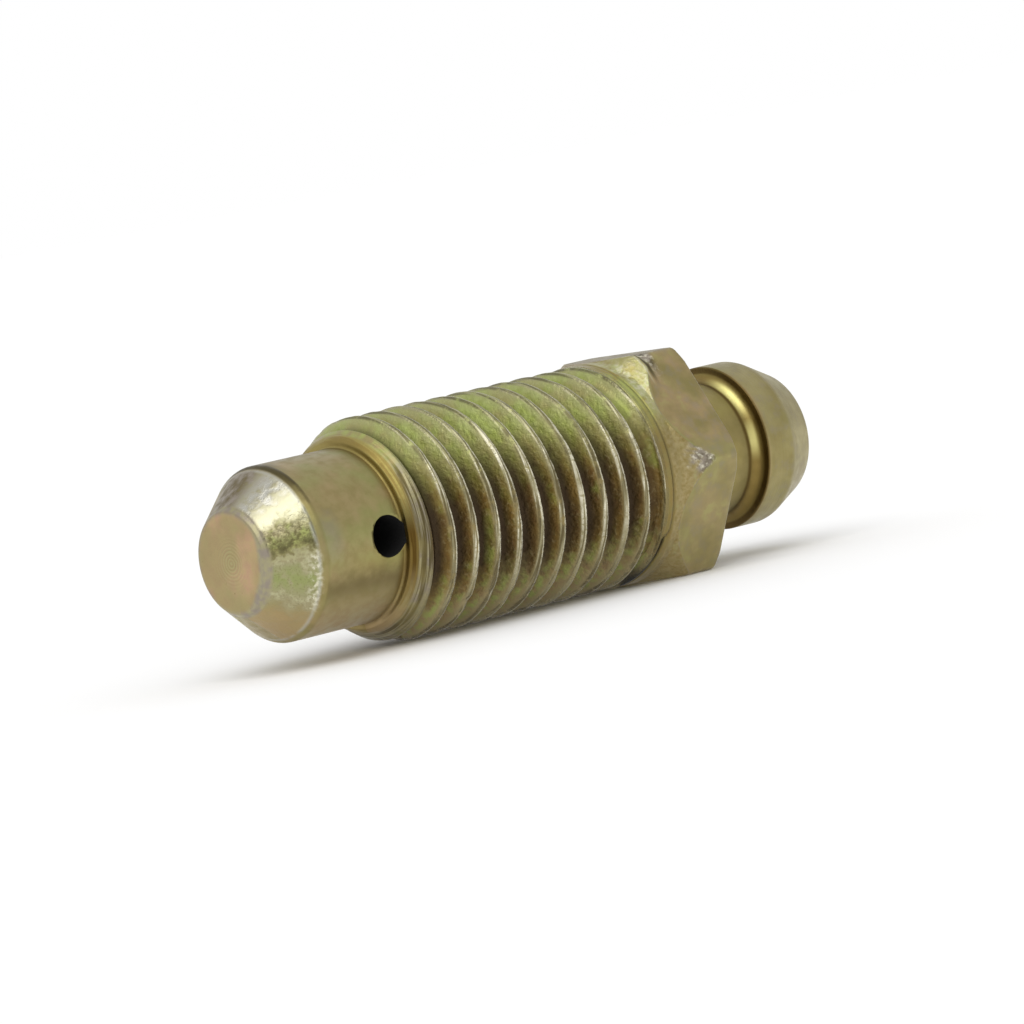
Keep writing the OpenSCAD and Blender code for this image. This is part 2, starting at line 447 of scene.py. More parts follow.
def build_skin():
    """One closed skin, row by row from the tip face to the bottom of the bore."""
    skin = Skin()
    centre = skin.point(0.0)
    stations = front_rows()
    first = skin.ring(*stations[0])
    skin.fan(centre, first, True)
    last = skin.rows(first, stations[1:])
    last = thread_rows(skin, last, stations[-1][0], COLLAR_X - 0.02, ROWS_PER_PITCH)
    last = skin.rows(last, hex_rows())
    last = skin.rows(last, rear_rows())
    point_len = BORE_R / math.tan(math.radians(DRILL_HALF_ANGLE))
    end = skin.point(BORE_BOTTOM - point_len)
    skin.fan(end, last, False)
    return skin


def make_screw():
    """The skin as a mesh object, with its crests worn."""
    skin = build_skin()
    mesh = bpy.data.meshes.new("screw_skin")
    points = bite_crests(np.array(skin.points)) * MM
    mesh.from_pydata([tuple(p) for p in points], [], skin.faces)
    mesh.validate()
    mesh.update()
    obj = bpy.data.objects.new("screw", mesh)
    bpy.context.scene.collection.objects.link(obj)
    for p in mesh.polygons:
        p.use_smooth = True
    return obj


def cut_cross_hole(obj):
    """Drills the cross hole through the near wall of the pilot, into the bore."""
    turn = math.radians(HOLE_TURN)
    bpy.ops.mesh.primitive_cylinder_add(
        vertices=72,
        radius=HOLE_R * MM,
        depth=DRILL_REACH * MM,
        location=(
            (HOLE_X - MID) * MM,
            -DRILL_REACH / 2 * math.cos(turn) * MM,
            (AXIS_Z - DRILL_REACH / 2 * math.sin(turn)) * MM,
        ),
        rotation=(math.pi / 2 + turn, 0, 0),
    )
    drill = bpy.context.object
    cut = obj.modifiers.new("cross_hole", "BOOLEAN")
    cut.operation = "DIFFERENCE"
    cut.solver = "EXACT"
    cut.object = drill
    bpy.context.view_layer.objects.active = obj
    bpy.ops.object.modifier_apply(modifier=cut.name)
    bpy.data.objects.remove(drill, do_unlink=True)


def cylinder_coords(points):
    """Station, angle in degrees and radius of points in millimetres."""
    y = points[:, 1]
    z = points[:, 2] - AXIS_Z
    return points[:, 0] + MID, np.degrees(np.arctan2(y, -z)) % 360, np.hypot(y, z)


def pull_in(points, rows, keep):
    """Moves the chosen points towards the axis, to the share keep of their radius."""
    points[rows, 1] *= keep
    points[rows, 2] = AXIS_Z + (points[rows, 2] - AXIS_Z) * keep


def bite_crests(points):
    """The crests have lost a little metal in irregular bites."""
    s, phi, r = cylinder_coords(points)
    crest = smooth_step(4.76, 4.92, r) * (s > SHOULDER + 0.4) * (s < COLLAR_X - 0.3)
    for nick_s, nick_turn, size, depth in CREST_NICKS:
        gap = np.hypot((s - nick_s) * 1.4, np.radians(turn_gap(phi, nick_turn)) * r)
        cut = depth * np.exp(-((gap / size) ** 2)) * crest
        pull_in(points, slice(None), 1 - cut / np.maximum(r, 1))
    for i in np.nonzero(crest)[0]:
        p = Vector(points[i])
        bite = 0.2 + noise.noise(p * 0.8) + 0.6 * noise.noise(p * 2.1)
        pull_in(points, i, 1 - CREST_BITE * max(bite, 0.0) * crest[i] / r[i])
    return points


def read_points(items, key):
    """Coordinates of vertices or faces, in millimetres."""
    flat = np.empty(len(items) * 3)
    items.foreach_get(key, flat)
    return flat.reshape(-1, 3) / MM


def add_layer(obj, name, domain, values):
    layer = obj.data.attributes.new(name, "FLOAT", domain)
    layer.data.foreach_set("value", values.astype(np.float32))


def vertex_masks(obj):
    """Float attributes that the material reads."""
    s, phi, r = cylinder_coords(read_points(obj.data.vertices, "co"))
    flat_r = hex_r(phi)
    whole_r = chamfered_r(s, flat_r)
    on_hexagon = (s > ARC_X) & (s < HEX_END - 0.3) & (r > 4.5)
    off_lead = np.abs(r - lead_r(s)) / 0.05
    on_lead = smooth_step(6.62, 6.74, s) * (s < SHOULDER + 1.5)
    layers = {
        "station": s,
        "turn": phi,
        "radius": r,
        "arc_gap": np.where(s > COLLAR_X, s - arc_station(flat_r), -5.0),
        "dent": np.clip((whole_r - r) / 0.04, 0, 1) * on_hexagon,
        "rolled": np.clip((r - whole_r) / 0.1, 0, 1) * on_hexagon,
        "lead": np.clip(1.4 - off_lead, 0, 1) * on_lead,
        "fold": np.clip(fold_depth(s, phi) / 0.16, 0, 1) * (r > 4) * (r < 5.05),
    }
    for name, values in layers.items():
        add_layer(obj, name, "POINT", values)


def mark_hole(obj):
    """Face attribute that is 1 on the wall of the cross hole."""
    co = read_points(obj.data.polygons, "center")
    s, _, r = cylinder_coords(co)
    turn = math.radians(HOLE_TURN)
    across = (co[:, 2] - AXIS_Z) * math.cos(turn) - co[:, 1] * math.sin(turn)
    inside = (np.hypot(s - HOLE_X, across) < HOLE_R + 0.01) & (co[:, 1] < 0)
    add_layer(obj, "hole", "FACE", inside & (r < PILOT_R - 0.05) & (r > 0.5 * BORE_R))


screw = make_screw()
cut_cross_hole(screw)
vertex_masks(screw)
mark_hole(screw)


class Graph:
    """Short names for the shader nodes that the plating needs."""

    def __init__(self, material):
        material.use_nodes = True
        self.tree = material.node_tree
        self.bsdf = self.tree.nodes["Principled BSDF"]

    def put(self, value, socket):
        """Feeds a socket with another node's output or with a plain value."""
        if isinstance(value, bpy.types.NodeSocket):
            self.tree.links.new(value, socket)
        else:
            socket.default_value = value

    def attribute(self, name):
        node = self.tree.nodes.new("ShaderNodeAttribute")
        node.attribute_name = name
        return node.outputs["Fac"]

    def math(self, operation, a, b=0.0):
        node = self.tree.nodes.new("ShaderNodeMath")
        node.operation = operation
        self.put(a, node.inputs[0])
        self.put(b, node.inputs[1])
        return node.outputs[0]

    def ramp(self, value, low, high):
        """0 at low, 1 at high, smooth between; low may be the larger."""
        node = self.tree.nodes.new("ShaderNodeMapRange")
        node.interpolation_type = "SMOOTHSTEP"
        flip = low > high
        self.put(value, node.inputs["Value"])
        self.put(min(low, high), node.inputs["From Min"])
        self.put(max(low, high), node.inputs["From Max"])
        self.put(1.0 if flip else 0.0, node.inputs["To Min"])
        self.put(0.0 if flip else 1.0, node.inputs["To Max"])
        return node.outputs["Result"]

    def band(self, value, low, high, soft):
        """1 between low and high, with soft sides."""
        rise = self.ramp(value, low - soft, low + soft)
        fall = self.ramp(value, high + soft, high - soft)
        return self.math("MULTIPLY", rise, fall)

    def both(self, *masks):
        """Where all the masks hold."""
        out = masks[0]
        for mask in masks[1:]:
            out = self.math("MULTIPLY", out, mask)
        return out

    def scale(self, value, factor):
        return self.math("MULTIPLY", value, factor)

    def mix(self, mask, a, b):
        """Colour a where the mask is 0, colour b where it is 1."""
        node = self.tree.nodes.new("ShaderNodeMix")
        node.data_type = "RGBA"
        self.put(mask, node.inputs[0])
        self.put(a, node.inputs[6])
        self.put(b, node.inputs[7])
        return node.outputs[2]

    def lay(self, under, over, mask, strength):
        """Lays one colour over another where the mask holds, as strongly as given."""
        return self.mix(self.scale(mask, strength), under, over)

    def noise(self, size_mm, detail=3.0, stretch=(1, 1, 1), shift=0.0):
        """Noise whose blotches are about size_mm across, in the part's own coordinates."""
        coords = self.tree.nodes.new("ShaderNodeTexCoord")
        mapping = self.tree.nodes.new("ShaderNodeMapping")
        mapping.inputs["Scale"].default_value = stretch
        mapping.inputs["Location"].default_value = (shift, shift, shift)
        self.tree.links.new(coords.outputs["Object"], mapping.inputs["Vector"])
        node = self.tree.nodes.new("ShaderNodeTexNoise")
        node.inputs["Scale"].default_value = 1.0 / (size_mm * MM)
        node.inputs["Detail"].default_value = detail
        self.tree.links.new(mapping.outputs["Vector"], node.inputs["Vector"])
        return node.outputs["Fac"]

    def bump(self, height, depth_mm, normal=None):
        """Normal that follows the height, on top of an earlier bump."""
        node = self.tree.nodes.new("ShaderNodeBump")
        node.inputs["Strength"].default_value = 1.0
        node.inputs["Distance"].default_value = depth_mm * MM
        self.put(height, node.inputs["Height"])
        if normal is not None:
            self.tree.links.new(normal, node.inputs["Normal"])
        return node.outputs["Normal"]


def srgb(red, green, blue):
    """Display colour, 0 to 255, as the linear colour that a shader takes."""
    out = []
    for value in (red, green, blue):
        v = value / 255
        out.append(v / 12.92 if v <= 0.04045 else ((v + 0.055) / 1.055) ** 2.4)
    return (*out, 1)


# Colours of the plating and its stains, and of painted light and shade: CREAM is a painted
# highlight and BLACK is painted shade in the fold, the bore and the cross hole
KHAKI = srgb(146, 133, 92)
OLIVE = srgb(126, 115, 70)
GREEN = srgb(134, 144, 84)
MOSS = srgb(136, 146, 66)
TAN = srgb(158, 136, 100)
GOLD = srgb(146, 133, 76)
CREAM = srgb(190, 187, 158)
LEAF = srgb(158, 168, 96)
SHADE = srgb(78, 70, 44)
PIT = srgb(60, 58, 36)
SAND = srgb(160, 146, 108)
STONE = srgb(150, 144, 112)
NOSE_OLIVE = srgb(146, 138, 94)
AMBER = srgb(124, 104, 54)
EARTH = srgb(112, 88, 34)
DARK_EARTH = srgb(82, 62, 22)
DEEP_GREEN = srgb(76, 78, 26)
BROWN = srgb(48, 33, 6)
RUST = srgb(98, 66, 32)
BAND = srgb(100, 88, 54)
BLACK = srgb(6, 5, 4)

# Bare or nearly bare steel, and the tip face; GLINT is a painted highlight, and WHITE serves both
# for wear and for painted highlights
STEEL = srgb(176, 174, 164)
VIOLET = srgb(140, 131, 118)
WHITE = srgb(222, 217, 196)
GLINT = srgb(216, 208, 136)
PALE = srgb(178, 176, 140)
STRAW = srgb(170, 172, 122)
PEACH = srgb(170, 148, 108)
PINK = srgb(176, 144, 116)


# Zones along the screw, from station to station; BEHIND_CONE, LIP_SHADE, HOLLOW, COVE_START and
# NOSE_LINE carry painted shade, LIP_GLINT and COVE painted highlights
SEAT_CONE = (0.2, 1.84)
BEHIND_CONE = (1.88, 2.2)
PILOT = (2.1, 6.36)
SHOULDER_RING = (6.36, 6.72)
THREAD = (7.0, 20.6)
LIP_SHADE = (22.24, 22.42)
LIP_GLINT = (22.08, 22.16)
NECK = (24.5, 28.06)
HOLLOW = (27.4, 28.04)
COVE = (27.6, 27.94)
COVE_START = (27.4, 27.56)
NOSE_LINE = (27.94, 28.12)

# Zones round the axis in degrees: 180 is up, 270 faces the camera and 360 is down
# Painted on the seat cone: shade on top (CONE_SHADED), a highlight (CONE_PALE) and light from below
# (CONE_TAN)
CONE_SHADED = (150, 196)
CONE_SILVER = (194, 228)
CONE_PALE = (224, 243)
CONE_PITTED = (244, 268)
CONE_LINE = (269.5, 271.5)
CONE_GREEN = (270, 318)
CONE_TAN = (322, 375)
# Painted on the pilot: shade on top, a golden glow of light, a dark reflection in a streak, and
# light from below
PILOT_TOP = (150, 186)
PILOT_GLOW = (278, 290)
PILOT_STREAK = (293, 304)
PILOT_LOW = (318, 375)
# Painted on the shoulder ring: a highlight on top, shade on the near side, light from below
RING_TOP = (150, 258)
RING_NEAR = (260, 302)
RING_LOW = (318, 375)
# Painted on the thread: lit above and below, shaded on the near side between, with crest highlights
# brightest in THREAD_NEAR
THREAD_TOP = (120, 244)
THREAD_NEAR = (228, 296)
THREAD_LOW = (314, 375)
# Painted on the flats: a tone for the way each one faces, the top one darkened as shade
FLAT_TOP = (150, 209)
FLAT_UPPER = (211, 264)
FLAT_LOWER = (274, 330)


def plating_base(g, f):
    """Chromate over zinc: khaki with soft olive, green and tan clouds."""
    color = g.lay(KHAKI, OLIVE, g.ramp(f.patch, 0.3, 0.74), 0.5)
    color = g.lay(color, GREEN, g.ramp(f.cloud, 0.45, 0.72), 0.45)
    return g.lay(color, TAN, g.ramp(f.cloud_b, 0.45, 0.75), 0.5)


def paint_tip(g, f, color):
    """Peach tip face with faint turning rings, and its edge worn wide on the near side."""
    near = g.band(f.turn, 250, 330, 20)
    face_r = g.math("SUBTRACT", 2.12, g.scale(near, 0.3))
    inside = g.math("SUBTRACT", face_r, f.radius)
    face = g.both(g.ramp(f.station, 0.09, 0.04), g.ramp(inside, -0.16, 0.14))
    tone = g.mix(g.ramp(f.patch, 0.3, 0.72), PEACH, PINK)
    tone = g.lay(tone, KHAKI, g.ramp(f.cloud, 0.36, 0.6), 0.75)
    tone = g.lay(tone, NOSE_OLIVE, g.ramp(f.cloud_b, 0.46, 0.66), 0.5)
    centre = g.both(g.ramp(f.radius, 1.1, 0.3), g.ramp(f.patch, 0.3, 0.55))
    ring_tone = g.both(g.ramp(f.rings, 0.1, 1.0), centre)
    tone = g.lay(tone, STRAW, ring_tone, 0.35)
    pock = g.both(g.ramp(f.speck, 0.66, 0.74), g.ramp(f.cloud_b, 0.45, 0.6))
    tone = g.lay(tone, BAND, pock, 0.5)
    edge = g.both(g.ramp(f.station, 0.34, 0.16), g.ramp(f.radius, 2.6, 2.4))
    color = g.mix(edge, color, g.mix(g.ramp(f.patch, 0.35, 0.65), STONE, VIOLET))
    return g.mix(face, color, tone), face


def paint_cone(g, f, color):
    """Seat cone: painted shade on top, silver above, a pale band that is a painted highlight, a
    pitted one, then green with scuffs to steel and tan below as painted light from below; the arc
    behind it is painted dark as shade.
    """
    cone = g.band(f.station, *SEAT_CONE, 0.06)
    # Painted shade: the arc behind the cone darkened, darkest on top, and the pilot just behind it
    # darkened on top
    behind = g.band(f.station, *BEHIND_CONE, 0.06)
    color = g.lay(color, OLIVE, behind, 0.35)
    color = g.mix(g.both(behind, g.band(f.wavy_turn, 150, 232, 14)), color, SHADE)
    after = g.both(g.band(f.station, 2.1, 2.5, 0.2), g.band(f.wavy_turn, 150, 200, 14))
    color = g.lay(color, SHADE, after, 0.6)
    # Painted light from below: tan on the lower side
    low_tan = g.both(cone, g.band(f.wavy_turn, *CONE_TAN, 18))
    color = g.lay(color, g.mix(g.ramp(f.patch, 0.3, 0.8), TAN, PEACH), low_tan, 0.7)
    green = g.both(cone, g.band(f.wavy_turn, *CONE_GREEN, 12))
    leaf = g.both(g.band(f.wavy_turn, 284, 299, 10), g.ramp(f.patch, 0.2, 0.5))
    leaf = g.lay(STONE, GREEN, leaf, 0.8)
    color = g.mix(green, color, leaf)
    scuffs = (g.band(f.wavy_turn, 272, 279, 4), g.band(f.wavy_turn, 304, 312, 4))
    bands = g.math("MAXIMUM", *scuffs)
    scuff = g.both(green, bands, g.ramp(f.speck, 0.35, 0.65))
    color = g.lay(color, PALE, scuff, 0.75)
    dust = g.both(green, g.ramp(f.grain, 0.5, 0.7))
    color = g.lay(color, BAND, dust, 0.3)
    shade = g.both(cone, g.band(f.wavy_turn, *CONE_SHADED, 14))
    color = g.mix(shade, color, g.mix(f.blotches, VIOLET, BAND))
    silver = g.both(cone, g.band(f.wavy_turn, *CONE_SILVER, 10))
    color = g.mix(silver, color, g.mix(g.ramp(f.patch, 0.35, 0.75), STEEL, STONE))
    # Painted highlight: the pale cream band
    pale = g.both(cone, g.band(f.wavy_turn, *CONE_PALE, 10))
    color = g.mix(pale, color, CREAM)
    pitted = g.both(cone, g.band(f.wavy_turn, *CONE_PITTED, 9))
    ground = g.mix(g.ramp(f.turn, 246, 262), STONE, g.mix(0.5, MOSS, STONE))
    ground = g.lay(ground, LEAF, g.ramp(f.patch, 0.45, 0.65), 0.6)
    pits = g.lay(ground, SHADE, g.ramp(f.speck, 0.62, 0.34), 0.7)
    dark = g.both(g.band(f.wavy_turn, 257, 267, 6), g.ramp(f.patch, 0.66, 0.42))
    pits = g.lay(pits, PIT, dark, 0.8)
    color = g.lay(color, pits, pitted, 0.9)
    line = g.both(cone, g.band(f.wavy_turn, *CONE_LINE, 2.5))
    color = g.lay(color, PALE, line, 0.6)
    rim = g.both(g.band(f.station, 1.76, 1.86, 0.07), g.ramp(f.patch, 0.32, 0.6))
    color = g.lay(color, STEEL, rim, 0.7)
    sparkle = g.both(g.band(f.station, 1.5, 1.86, 0.16), g.band(f.wavy_turn, 271, 312, 8))
    color = g.lay(color, WHITE, g.both(sparkle, g.ramp(f.speck, 0.4, 0.72)), 0.75)
    return color, cone, pitted, g.math("MAXIMUM", silver, pale)


def paint_pilot(g, f, color):
    """Pilot: painted shade above, a painted dark reflection in a streak low on the near side with a
    painted golden glow above it, a violet-grey streak by the cone, amber next to the shoulder and
    painted light below.
    """
    pilot = g.band(f.station, *PILOT, 0.06)
    soft_turn = g.math("ADD", g.scale(f.turn, 0.75), g.scale(f.wavy_turn, 0.25))
    # Painted reflection of something dark: a darker streak low on the near side
    streak = g.both(pilot, g.band(soft_turn, *PILOT_STREAK, 9))
    color = g.lay(color, BAND, streak, 0.8)
    # Painted light: a golden glow just above the dark streak
    glow = g.both(pilot, g.band(soft_turn, *PILOT_GLOW, 8), g.ramp(f.station, 2.6, 5.0))
    color = g.lay(color, GOLD, glow, 0.5)
    # A violet-grey streak on the near side next to the cone
    grey_streak = g.both(g.band(f.station, 2.1, 3.0, 0.4), g.band(f.wavy_turn, 252, 276, 8))
    color = g.lay(color, VIOLET, grey_streak, 0.45)
    # Painted shade on the top of the pilot
    top = g.both(pilot, g.band(soft_turn, *PILOT_TOP, 14))
    color = g.lay(color, BAND, top, 0.75)
    seat = g.both(pilot, g.ramp(f.station, 6.0, 6.34))
    color = g.lay(color, AMBER, seat, 0.7)
    green = g.both(pilot, g.band(f.wavy_turn, 256, 284, 10), g.ramp(f.cloud_b, 0.35, 0.65))
    color = g.lay(color, GREEN, green, 0.4)
    # Painted light from below: sand and tan on the lower side
    low = g.both(pilot, g.band(soft_turn, *PILOT_LOW, 14))
    return g.lay(color, g.mix(f.blotches, SAND, TAN), low, 0.8)


def paint_shoulder(g, f, color):
    """Shoulder ring: gold above as a painted highlight, painted shade on the near side, tan below
    as painted light from below, cut by fine turning lines.
    """
    ring = g.band(f.station, *SHOULDER_RING, 0.06)
    # Painted highlight above, painted shade on the near side, painted light from below
    color = g.mix(g.both(ring, g.band(f.turn, *RING_TOP, 14)), color, GOLD)
    color = g.mix(g.both(ring, g.band(f.turn, *RING_NEAR, 14)), color, DARK_EARTH)
    color = g.lay(color, TAN, g.both(ring, g.band(f.turn, *RING_LOW, 14)), 0.8)
    lines = g.both(g.band(f.station, 6.36, 7.2, 0.08), g.ramp(f.streak, 0.56, 0.42))
    return g.lay(color, AMBER, lines, 0.6)


def paint_lead(g, f, color):
    """Lead-in cone: greenish above, grey with fine turning lines on the near side."""
    tone = g.mix(g.ramp(f.patch, 0.35, 0.65), STONE, VIOLET)
    tone = g.mix(g.ramp(f.streak, 0.4, 0.62), SHADE, tone)
    tone = g.lay(tone, OLIVE, g.ramp(f.cloud_b, 0.4, 0.65), 0.5)
    upper = g.band(f.wavy_turn, 120, 228, 18)
    tone = g.mix(upper, tone, g.mix(f.blotches, KHAKI, LEAF))
    return g.lay(color, tone, f.lead, 0.85)


def paint_thread(g, f, color):
    """Thread in painted light and shade: flanks lit green above, shaded brown on the near side and
    lit tan below, roots painted dark as shade, and grey crests with wear and painted highlights.
    """
    thread = g.both(g.band(f.station, *THREAD, 0.1), g.ramp(f.radius, 4.0, 4.1))
    # Painted light and shade by side: lit green above, shaded brown on the near side, lit tan below
    upper = g.band(f.wavy_turn, *THREAD_TOP, 26)
    low = g.band(f.wavy_turn, *THREAD_LOW, 18)
    leaf = g.mix(f.blotches, MOSS, LEAF)
    leaf = g.lay(leaf, KHAKI, g.ramp(f.cloud_b, 0.35, 0.65), 0.7)
    shaded_brown = g.mix(g.ramp(f.cloud, 0.35, 0.65), EARTH, DARK_EARTH)
    shaded_brown = g.lay(shaded_brown, RUST, g.ramp(f.patch, 0.5, 0.75), 0.5)
    shaded_brown = g.lay(shaded_brown, MOSS, g.ramp(f.cloud_b, 0.52, 0.7), 0.6)
    under = g.mix(g.ramp(f.patch, 0.35, 0.65), TAN, LEAF)
    middle = g.mix(low, g.mix(upper, shaded_brown, leaf), under)
    top = g.mix(upper, g.mix(0.5, AMBER, KHAKI), g.mix(0.4, leaf, STRAW))
    top = g.mix(low, top, SAND)
    root_low = g.mix(g.ramp(f.cloud, 0.4, 0.6), AMBER, KHAKI)
    root = g.mix(low, g.mix(upper, BROWN, DEEP_GREEN), root_low)
    # The painted shade in the roots is narrower on the upper and lower sides, and the colour runs
    # from root to crest as painted shading across each ridge
    open_side = g.math("MAXIMUM", g.scale(upper, 0.14), g.scale(low, 0.1))
    height = g.math("ADD", f.radius, open_side)
    part = g.mix(g.ramp(height, 4.34, 4.74), root, middle)
    part = g.mix(g.ramp(height, 4.68, 4.9), part, top)
    flank = g.ramp(f.radius, 4.4, 4.6)
    mottle = g.both(g.ramp(f.speck, 0.5, 0.72), g.ramp(f.cloud_b, 0.3, 0.6), flank)
    part = g.lay(part, g.mix(upper, SAND, STRAW), mottle, 0.35)
    color = g.mix(thread, color, part)
    crest = g.both(thread, g.ramp(f.radius, 4.78, 4.88))
    grey = g.mix(g.ramp(f.streak, 0.4, 0.6), SHADE, STONE)
    color = g.lay(color, grey, g.both(crest, g.ramp(f.patch, 0.25, 0.5)), 0.8)
    # Crests: pale marks that are partly wear and partly painted highlights, brightest on the near
    # side, and painted flashes of light there
    near = g.band(f.wavy_turn, *THREAD_NEAR, 24)
    nearer = g.math("ADD", 0.3, g.scale(near, 0.6))
    wear_and_sheen = g.both(g.ramp(f.speck, 0.3, 0.6), g.ramp(f.cloud, 0.25, 0.5), nearer)
    bright = g.both(crest, g.ramp(f.back_edge, -0.03, 0.04), wear_and_sheen)
    color = g.mix(bright, color, WHITE)
    broken = g.both(g.ramp(f.cloud_b, 0.36, 0.54), g.ramp(f.speck, 0.3, 0.5))
    flash = g.both(crest, g.ramp(f.streak, 0.52, 0.62), broken, near)
    color = g.lay(color, WHITE, flash, 0.8)
    return color, thread, crest


def paint_hexagon(g, f, color):
    """Collar blotched amber and olive, painted gold as light on its upper side with a painted
    highlight on top; long chamfer sandy and scuffed; flats in tones painted by the way they face,
    the top one darkened as shade; edges and crushed corners rubbed to steel; painted shade and a
    glint at the rolled lip, and the fold painted black as shade.
    """
    collar = g.both(g.ramp(f.station, 20.45, 20.6), g.ramp(f.arc_gap, 0.02, -0.04))
    color = g.lay(color, g.mix(f.blotches, AMBER, OLIVE), collar, 0.8)
    # Painted light on the upper side of the collar, and a painted highlight on its top
    lit = g.both(collar, g.band(f.wavy_turn, 192, 240, 16))
    color = g.lay(color, g.mix(g.ramp(f.cloud_b, 0.35, 0.65), GOLD, LEAF), lit, 0.8)
    collar_highlight = g.both(lit, g.ramp(f.station, 21.0, 21.15), g.ramp(f.patch, 0.25, 0.55))
    color = g.mix(collar_highlight, color, g.mix(g.ramp(f.speck, 0.35, 0.7), STRAW, CREAM))
    chamfer = g.both(collar, g.ramp(f.station, 20.98, 21.2))
    sand = g.mix(g.ramp(f.speck, 0.15, 0.85), g.mix(0.5, AMBER, OLIVE), SAND)
    sand = g.lay(sand, KHAKI, g.ramp(f.patch, 0.4, 0.7), 0.6)
    scuff = g.both(g.ramp(f.patch, 0.55, 0.75), g.ramp(f.arc_gap, -0.7, -0.1))
    sand = g.lay(sand, STRAW, scuff, 0.5)
    plain = g.both(chamfer, g.band(f.wavy_turn, 246, 345, 16))
    color = g.lay(color, sand, plain, 0.85)
    edge = g.both(g.band(f.arc_gap, -0.03, 0.03, 0.03), g.ramp(f.patch, 0.4, 0.65))
    color = g.lay(color, VIOLET, edge, 0.6)
    # Painted light and shade on the flats by the way they face: the top flat darkened, the upper
    # and lower flats given their own tones
    flats = g.both(g.ramp(f.arc_gap, 0.05, 0.12), g.ramp(f.station, 24.5, 24.42))
    top = g.both(flats, g.band(f.turn, *FLAT_TOP, 1))
    color = g.lay(color, BAND, top, 0.8)
    upper = g.both(flats, g.band(f.turn, *FLAT_UPPER, 8))
    color = g.lay(color, g.mix(f.haze, OLIVE, TAN), upper, 0.8)
    lower = g.both(flats, g.band(f.turn, *FLAT_LOWER, 6))
    color = g.lay(color, g.mix(f.haze, OLIVE, KHAKI), lower, 0.5)
    bloom = g.both(flats, g.ramp(f.patch, 0.45, 0.7), g.ramp(f.cloud, 0.35, 0.6))
    color = g.lay(color, VIOLET, bloom, 0.35)
    leafy = g.both(flats, g.ramp(f.patch, 0.5, 0.3), g.ramp(f.cloud_b, 0.4, 0.65))
    color = g.lay(color, LEAF, leafy, 0.25)
    crushed = g.mix(g.ramp(f.patch, 0.3, 0.6), SHADE, VIOLET)
    color = g.mix(f.dent, color, g.mix(g.ramp(f.speck, 0.45, 0.8), crushed, WHITE))
    color = g.lay(color, GOLD, f.rolled, 0.5)
    lip = g.band(f.turn, 198, 222, 6)
    color = g.mix(g.both(lip, g.band(f.station, *LIP_SHADE, 0.05)), color, SHADE)
    color = g.lay(color, CREAM, g.both(lip, g.band(f.station, *LIP_GLINT, 0.04)), 0.7)
    # Painted shade: the fold and its slit filled black
    color = g.mix(f.fold, color, BLACK)
    return color, chamfer


def paint_nose(g, f, color):
    """Neck and cove in darker olive, the cove's hollow darkened amber as painted shade with painted
    glints, nose greyer, with dark lines painted as shade at the cove's start and round the nose's
    front edge.
    """
    neck = g.band(f.station, *NECK, 0.05)
    color = g.lay(color, g.mix(g.ramp(f.cloud, 0.3, 0.7), OLIVE, GOLD), neck, 0.7)
    # Painted shade in the hollow of the cove, then painted glints in it
    hollow = g.both(g.band(f.station, *HOLLOW, 0.1), g.ramp(f.radius, 3.64, 3.56))
    color = g.lay(color, AMBER, hollow, 0.85)
    faint = g.scale(g.band(f.turn, 254, 276, 10), 0.7)
    glints = g.math("MAXIMUM", g.band(f.turn, 204, 238, 16), faint)
    cove = g.both(g.band(f.station, *COVE, 0.08), g.ramp(f.radius, 3.48, 3.4))
    color = g.mix(g.both(cove, glints), color, GLINT)
    # Painted shade: dark lines at the cove's start and round the nose's front edge
    start = g.both(g.band(f.station, *COVE_START, 0.08), g.ramp(f.radius, 3.3, 3.2))
    color = g.lay(color, BROWN, start, 0.5)
    line = g.both(g.band(f.station, *NOSE_LINE, 0.05), g.ramp(f.radius, 3.34, 3.46))
    color = g.lay(color, DARK_EARTH, line, 0.8)
    nose = g.ramp(f.station, 28.14, 28.32)
    grey = g.mix(f.haze, OLIVE, NOSE_OLIVE)
    grey = g.lay(grey, VIOLET, g.ramp(f.patch, 0.45, 0.75), 0.4)
    return g.lay(color, grey, nose, 0.8), nose


class Fields:
    """The masks and noises that the paint functions share."""

    def __init__(self, g):
        self.station = g.attribute("station")
        self.turn = g.attribute("turn")
        self.radius = g.attribute("radius")
        self.arc_gap = g.attribute("arc_gap")
        self.dent = g.attribute("dent")
        self.rolled = g.attribute("rolled")
        self.fold = g.attribute("fold")
        self.lead = g.attribute("lead")
        self.hole = g.attribute("hole")
        self.cloud = g.noise(2.2, 3.0)
        self.cloud_b = g.noise(1.5, 3.0, shift=0.05)
        self.patch = g.noise(0.45, 4.0, shift=0.11)
        self.speck = g.noise(0.17, 3.0, shift=0.07)
        self.grain = g.noise(0.08, 2.0, shift=0.03)
        self.streak = g.noise(0.09, 2.0, stretch=(1, 0.03, 0.03))
        self.blotches = g.ramp(self.patch, 0.3, 0.7)
        self.haze = g.ramp(self.cloud_b, 0.3, 0.7)
        sway = g.math("SUBTRACT", self.patch, 0.5)
        self.wavy_turn = g.math("ADD", self.turn, g.scale(sway, 26.0))
        self.rings = g.math("SINE", g.scale(self.radius, 40.0))
        turned = g.scale(g.math("SUBTRACT", self.turn, 270.0), PITCH / 360)
        past = g.math("SUBTRACT", g.math("SUBTRACT", self.station, FIRST_CREST - PITCH / 2), turned)
        self.back_edge = g.math("SUBTRACT", g.math("FLOORED_MODULO", past, PITCH), PITCH / 2)


